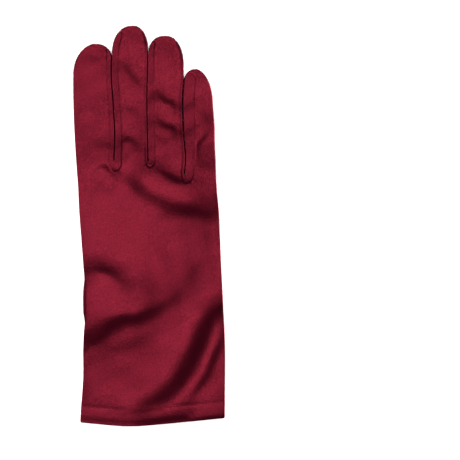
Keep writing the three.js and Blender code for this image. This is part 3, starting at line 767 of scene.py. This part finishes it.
def satin(name, shine, body, rough, sheen):
    """Polyester satin: long floats of wine red yarn that send light back red and scatter little
    sideways, so a flat stretch glows softly and a tilted flank goes dark. Seen from low down the
    fibres give a red sheen. The yarns lie about 0.2 mm apart: the grain is drawn about four
    times as coarse, to be seen at all in a picture."""
    material = bpy.data.materials.new(name)
    material.use_nodes = True
    tree = material.node_tree
    tree.nodes.clear()
    where = add_node(tree, "ShaderNodeTexCoord").outputs["Object"]
    cloud = add_node(tree, "ShaderNodeTexNoise", Vector=where, Scale=CLOUD_PER_MM / MM,
                     Detail=2.0)
    weave = add_node(tree, "ShaderNodeTexNoise", Vector=where, Scale=GRAIN_PER_MM / MM,
                     Detail=3.0, Roughness=0.7)
    both = add_node(tree, "ShaderNodeMix", {"data_type": "FLOAT"}, i0=0.12,
                    i2=weave.outputs["Fac"], i3=cloud.outputs["Fac"])
    spread = add_node(tree, "ShaderNodeMapRange", Value=both.outputs[0], From_Min=0.34,
                      From_Max=0.66)
    tint = add_node(tree, "ShaderNodeMix", {"data_type": "RGBA"}, i0=spread.outputs[0],
                    i6=linear(shine[0]), i7=linear(shine[1]))
    bump = add_node(tree, "ShaderNodeBump", Strength=0.6, Distance=0.18 * MM,
                    Height=weave.outputs["Fac"])
    skin = add_node(tree, "ShaderNodeBsdfPrincipled", Base_Color=linear(body), Metallic=0.0,
                    Roughness=rough, IOR=1.5, Specular_Tint=tint.outputs[2],
                    Sheen_Weight=sheen, Sheen_Roughness=0.42, Sheen_Tint=linear("#d81c3c"),
                    Normal=bump.outputs["Normal"])
    out = add_node(tree, "ShaderNodeOutputMaterial")
    tree.links.new(skin.outputs["BSDF"], out.inputs["Surface"])
    return material


def dull(name, per_mm, detail, body, shine):
    """Spun or short-floated yarn: a plain matt colour, a little uneven, with a weak shine."""
    material = bpy.data.materials.new(name)
    material.use_nodes = True
    tree = material.node_tree
    tree.nodes.clear()
    where = add_node(tree, "ShaderNodeTexCoord").outputs["Object"]
    yarn = add_node(tree, "ShaderNodeTexNoise", Vector=where, Scale=per_mm / MM, Detail=detail)
    colour = add_node(tree, "ShaderNodeMix", {"data_type": "RGBA"}, i0=yarn.outputs["Fac"],
                      i6=linear(body[0]), i7=linear(body[1]))
    skin = add_node(tree, "ShaderNodeBsdfPrincipled", Base_Color=colour.outputs[2],
                    Roughness=0.6, IOR=1.5, Specular_Tint=linear(shine))
    out = add_node(tree, "ShaderNodeOutputMaterial")
    tree.links.new(skin.outputs["BSDF"], out.inputs["Surface"])
    return material


# The face side shines outside. The reverse, with its short floats, is a dull red that shows
# only in the dark of the opening.
SATIN = satin("wine red satin, face side", ("#6c1826", "#b83046"), "#120104", 0.33, 0.85)
REVERSE = dull("reverse of the satin, dull", 1.2, 2.0, ("#2a040b", "#3c0812"), "#a02a3e")

trank = make_trank()
trank.data.materials.append(SATIN)
trank.data.materials.append(REVERSE)
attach(trank, "root")
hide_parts("trank_back", "trank_palm")


# Fourchettes
# Narrow strips of the same satin between the fingers, sewn to the back and the palm: each
# runs down one finger's side, folds through the crotch and runs up the next finger's side.

STRIP_STEPS = 11
STRIP_BUNCHED = 1.6
STRIP_FOOT = 2.0
LAST_ROW_CLEAR = 0.004


def side_stations(place, side):
    """Seam and outline places down one side of a finger, tip first."""
    rows = FINGER_SHARES[FINGER_SHARES < SEAM_END - LAST_ROW_CLEAR]
    share = np.concatenate([rows, [SEAM_END]])
    gap = GAPS[place - 1 if side < 0 else place]
    seam_x, seam_y = seam_line(place, side, share)
    tip_y = FINGERS[place]["tip"][1]
    rise = share * (tip_y - gap["foot"][1])
    free = ease(rise / SEAM_BLEND)
    out_y = seam_y + gap["lobe"] * (1 - free)
    out_share = (out_y - gap["foot"][1]) / (tip_y - gap["foot"][1])
    edge_x = finger_outline(place, out_share)[0 if side < 0 else 1][0]
    middle = through(gap["line"], np.array(gap["foot"][1] + gap["lobe"]))
    out_x = mix(middle, edge_x, roll(rise, FINGER_GAP))
    out_y = out_y - FINGER_GAP / 2 * (1 - roll(rise, STRIP_FOOT))
    return np.column_stack([seam_x, seam_y, out_x, out_y])[::-1]


def make_fourchette(place):
    """The strip between a finger and the next, over the back's edge and down to the palm's."""
    name = f"strip_{FINGERS[place]['name']}_{FINGERS[place + 1]['name']}"
    down = side_stations(place, 1)
    up = side_stations(place + 1, -1)[::-1]
    rows = np.concatenate([down, up[1:]])
    seam_x, seam_y, out_x, out_y = rows.T[:, :, None]
    half = 1 - np.linspace(1, 0, STRIP_STEPS)[None, :] ** STRIP_BUNCHED
    x = mix(seam_x, out_x, half)
    y = mix(seam_y, out_y, half)
    away = edge_distance(x, y)
    away[:, -1] = 0
    away[0, :] = 0
    away[-1, :] = 0
    top = skin_height(x, y, 1, away) - seam_dip(x, y, -1) * (away > 0)
    low = skin_height(x, y, -1, away)
    x = np.concatenate([x, x[:, -2::-1]], axis=1)
    y = np.concatenate([y, y[:, -2::-1]], axis=1)
    z = np.concatenate([top, low[:, -2::-1]], axis=1)
    points, quads = [], []
    add_grid(points, quads, (x, y, z), False)
    return mesh_piece(name, np.concatenate(points), quads)


# Cut from the same satin. This copy carries painted shade: a touch darker and with no sheen, so
# the strips, which stand on edge in the gaps, stay as dark as the shade there.
SATIN_STRIPS_PAINTED_SHADE = satin("wine red satin, fourchette strips", ("#681725", "#b02d43"), "#110104",
                   0.34, 0.0)

for place in range(len(GAPS)):
    strip = make_fourchette(place)
    strip.data.materials.append(SATIN_STRIPS_PAINTED_SHADE)
    strip.data.materials.append(REVERSE)
    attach(strip, "root")
    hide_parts(strip.name.replace("strip", "fourchette"))


# Thumb
# A flat tube of the same satin with a rounded end, sewn into the oval hole of the palm. Laid
# flat it is folded under the palm and points at the fingers.

THUMB_ACROSS = 32
THUMB_ROWS = 76
THUMB_THICK = 5.3
THUMB_END = 0.16
THUMB_ROLL = 2.6
THUMB_END_HEIGHT = 0.4
CRUMPLE = 0.25


def make_thumb():
    """The flat tube, rounded at both ends, its palm side crumpled by what lies on it."""
    share = bunched(THUMB_ROWS, 0.5)[:, None]
    across = bunched(THUMB_ACROSS, 1)[None, :]
    turned = np.clip(1 - (0.5 - np.abs(share - 0.5)) / THUMB_END, 0, 1)
    cap = np.sqrt(1 - turned * turned)
    half = THUMB_HALF * mix(1, THUMB_TAPER, share) * cap
    away = np.minimum(across, 1 - across) * 2 * half
    body = roll(away, np.maximum(THUMB_ROLL * cap, 1e-3)) * cap
    middle = THUMB_THICK / 2 * mix(THUMB_END_HEIGHT, 1, cap)
    points, quads = [], []
    for face in (1, -1):
        x = mix(*THUMB_X, share) + half * (2 * across - 1)
        y = mix(THUMB_FOOT, THUMB_FOOT + THUMB_LONG, share) + 0 * across
        inside = None
        if face > 0:
            x, y, inside = past_thumb_hole(x, y)
        z = middle + face * (THUMB_THICK / 2) * body
        if face < 0:
            crumple = CRUMPLE * np.sin(y / 4.1 + x / 9) * np.sin(x / 4.3 - y / 13) * body
            z = z - crumple - CRUMPLE
        z = np.where(body > 0, np.clip(z, 0.0, THUMB_THICK), middle)
        add_grid(points, quads, (x, y, z), face > 0, inside)
    return mesh_piece("thumb_tube", np.concatenate(points), quads)


thumb = make_thumb()
thumb.data.materials.append(SATIN)
thumb.data.materials.append(REVERSE)
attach(thumb, "root")
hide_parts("thumb")


# Cuff hem
# The cloth folded over at the opening and turned up inside for a finger's width, so that
# the edge is soft and double and shows the face side again inside.

HEM_TURN = 0.55
HEM_ALLOWANCE = 9.6
HEM_CLOTH = 0.3
HEM_LIP_STEPS = 7
HEM_ROWS = 8
HEM_COLUMNS = 96
HEM_BUNCHED = 0.4


def make_cuff_hem():
    """The turned edge: a half roll round the opening, then the band just inside the cloth."""
    up = np.linspace(0, HEM_ALLOWANCE, HEM_ROWS + 1)[:, None]
    across = bunched(HEM_COLUMNS, HEM_BUNCHED)[None, :]
    left = through(INDEX_EDGE, hem_y(np.array(HEM_LEFT)) + up)
    right = through(LITTLE_EDGE, hem_y(np.array(HEM_RIGHT)) + up)
    x = mix(left, right, across)
    y = hem_y(x) + up
    away = edge_distance(x, y)
    away[:, 0] = 0
    away[:, -1] = 0
    top = skin_height(x, y, 1, away)
    low = skin_height(x, y, -1, away)
    loops = [np.concatenate([over, under[:, -2:0:-1]], axis=1)
             for over, under in ((x, x), (y, y), (top, low))]
    skin = np.stack(loops, axis=-1)
    round_way = np.roll(skin, -1, axis=1) - np.roll(skin, 1, axis=1)
    long_way = np.gradient(skin, axis=0)
    inwards = np.cross(round_way, long_way)
    inwards = -inwards / np.linalg.norm(inwards, axis=-1, keepdims=True)
    turn = np.linspace(0, np.pi, HEM_LIP_STEPS + 1)[:, None, None]
    lip = skin[:1] + inwards[:1] * HEM_TURN * (1 - np.cos(turn))
    lip = lip - np.array([0, 1, 0]) * HEM_TURN * np.sin(turn)
    band = skin[1:] + inwards[1:] * 2 * HEM_TURN
    rows = np.concatenate([lip, band])
    count = rows.shape[1]
    quads = []
    for r in range(len(rows) - 1):
        for c in range(count):
            a, b = r * count + c, r * count + (c + 1) % count
            quads.append([a, a + count, b + count, b])
    return mesh_piece("turned_hem", rows.reshape(-1, 3), quads, HEM_CLOTH)


# The face side again, a shade softer where the cloth is double.
SATIN_HEM = satin("wine red satin, doubled hem", ("#6c1826", "#b83046"), "#120104", 0.34, 0.85)

hem = make_cuff_hem()
hem.data.materials.append(SATIN_HEM)
hem.data.materials.append(SATIN_HEM)
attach(hem, "root")
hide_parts("cuff_hem")


# Hem stitching
# A row of small running stitches in matched polyester thread, over the back and under the
# palm, that holds the turned up cloth. It is sunk a little into the soft satin.

STITCH_SPACING = 2.3
STITCH_LENGTH = 1.5
THREAD_THICK = 0.26
STITCH_SINK = 0.03
STITCH_PLACES = 220
SIDE_CLEAR = 0.01


def stitch_path():
    """The two lines of the stitching, over the back and under the palm, side folds left out."""
    across = np.linspace(SIDE_CLEAR, 1 - SIDE_CLEAR, STITCH_PLACES)
    lines = []
    for face, rise in ((1, STITCH_SINK), (-1, THREAD_THICK / 2)):
        y = hem_y(mix(HEM_LEFT, HEM_RIGHT, across)) + HEM_STITCH
        x = mix(through(INDEX_EDGE, y), through(LITTLE_EDGE, y), across)
        z = skin_height(x, y, face, edge_distance(x, y)) + rise
        lines.append(np.column_stack([x, y, z]))
    mesh = bpy.data.meshes.new("hem_stitch_line")
    edges = [(i, i + 1) for i in range(2 * STITCH_PLACES - 1) if i != STITCH_PLACES - 1]
    mesh.from_pydata((np.concatenate(lines) * MM).tolist(), edges, [])
    path = bpy.data.objects.new("hem_stitch_line", mesh)
    bpy.context.scene.collection.objects.link(path)
    return path


def stitching(material):
    """Geometry nodes that lay a bead of thread at every spacing along a line."""
    tree = bpy.data.node_groups.new("running stitches", "GeometryNodeTree")
    tree.interface.new_socket("Line", in_out="INPUT", socket_type="NodeSocketGeometry")
    for name in ("Spacing", "Stitch Length", "Thread Thickness"):
        tree.interface.new_socket(name, in_out="INPUT", socket_type="NodeSocketFloat")
    tree.interface.new_socket("Stitches", in_out="OUTPUT", socket_type="NodeSocketGeometry")
    given = add_node(tree, "NodeGroupInput").outputs
    curve = add_node(tree, "GeometryNodeMeshToCurve", Mesh=given["Line"])
    places = add_node(tree, "GeometryNodeCurveToPoints", {"mode": "LENGTH"},
                      Curve=curve.outputs["Curve"], Length=given["Spacing"])
    bead = add_node(tree, "GeometryNodeMeshUVSphere", Segments=8, Rings=6, Radius=0.5)
    size = add_node(tree, "ShaderNodeCombineXYZ", X=given["Thread Thickness"],
                    Y=given["Thread Thickness"], Z=given["Stitch Length"])
    laid = add_node(tree, "GeometryNodeInstanceOnPoints", Points=places.outputs["Points"],
                    Instance=bead.outputs["Mesh"], Rotation=places.outputs["Rotation"],
                    Scale=size.outputs["Vector"])
    real = add_node(tree, "GeometryNodeRealizeInstances", Geometry=laid.outputs["Instances"])
    dyed = add_node(tree, "GeometryNodeSetMaterial", Geometry=real.outputs["Geometry"],
                    Material=material)
    add_node(tree, "NodeGroupOutput", Stitches=dyed.outputs["Geometry"])
    return tree


# Spun polyester, a shade darker than the cloth, so a stitch reads as a small dark dash.
THREAD = dull("dark wine polyester thread", 4.0, 1.0, ("#140205", "#28050c"), "#6a1a2a")

path = stitch_path()
row = path.modifiers.new("running stitches", "NODES")
row.node_group = stitching(THREAD)
wanted = {"Spacing": STITCH_SPACING * MM, "Stitch Length": STITCH_LENGTH * MM,
          "Thread Thickness": THREAD_THICK * MM}
for socket in row.node_group.interface.items_tree:
    if socket.name in wanted:
        row[socket.identifier] = wanted[socket.name]
bpy.context.view_layer.update()
sewn = bpy.data.meshes.new_from_object(
    path.evaluated_get(bpy.context.evaluated_depsgraph_get()))
path.modifiers.remove(row)
bpy.data.objects.remove(path)
sewn.shade_smooth()
stitches = bpy.data.objects.new("hem_stitches", sewn)
bpy.context.scene.collection.objects.link(stitches)
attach(stitches, "root")


# Floor, light and camera
# A plain pale studio table under one large soft light straight overhead.

FLOOR_HALF = 1.5
PAPER_WHITE = 0.9

floor_mesh = bpy.data.meshes.new("floor")
corners = [(-1, -1), (1, -1), (1, 1), (-1, 1)]
floor_mesh.from_pydata([(x * FLOOR_HALF, y * FLOOR_HALF, 0) for x, y in corners], [],
                       [(0, 1, 2, 3)])
floor = bpy.data.objects.new("floor", floor_mesh)
bpy.context.scene.collection.objects.link(floor)

# Matt paper scatters nearly all light and hardly shines, so it stays white up to the glove.
paper = bpy.data.materials.new("matt white paper")
paper.use_nodes = True
paper_skin = paper.node_tree.nodes["Principled BSDF"]
paper_skin.inputs["Base Color"].default_value = (PAPER_WHITE, PAPER_WHITE, PAPER_WHITE, 1)
paper_skin.inputs["Roughness"].default_value = 0.9
paper_skin.inputs["Specular IOR Level"].default_value = 0.1
floor_mesh.materials.append(paper)

LAMP_WIDE = 0.42
LAMP_PLACE = (-0.02, 0, 0.8)
LAMP_WATTS = 20.6
ROOM_LIGHT = 0.1

lamp_data = bpy.data.lights.new("softbox", "AREA")
lamp_data.shape = "SQUARE"
lamp_data.size = LAMP_WIDE
lamp_data.energy = LAMP_WATTS
lamp = bpy.data.objects.new("softbox", lamp_data)
lamp.location = LAMP_PLACE
lamp.visible_camera = False
bpy.context.scene.collection.objects.link(lamp)

world = bpy.data.worlds.new("dim studio")
world.use_nodes = True
world.node_tree.nodes["Background"].inputs["Color"].default_value = (1, 1, 1, 1)
world.node_tree.nodes["Background"].inputs["Strength"].default_value = ROOM_LIGHT
bpy.context.scene.world = world

# The camera looks straight down from 2 m over the back of the glove, which lies left of the
# middle in a picture 264.5 mm wide.
SENSOR = 36
CAMERA_AWAY = 2.0
BACK_HEIGHT = 0.005
PICTURE_WIDE = 0.2645
PICTURE_MIDDLE = (0.0464, -0.0028)

camera_data = bpy.data.cameras.new("camera")
camera_data.sensor_width = SENSOR
camera_data.lens = SENSOR * CAMERA_AWAY / PICTURE_WIDE
camera_data.clip_start = 0.1
camera_data.clip_end = 10
camera = bpy.data.objects.new("camera", camera_data)
camera.location = (*PICTURE_MIDDLE, CAMERA_AWAY + BACK_HEIGHT)
bpy.context.scene.collection.objects.link(camera)
bpy.context.scene.camera = camera
bpy.context.scene.view_settings.view_transform = "Standard"
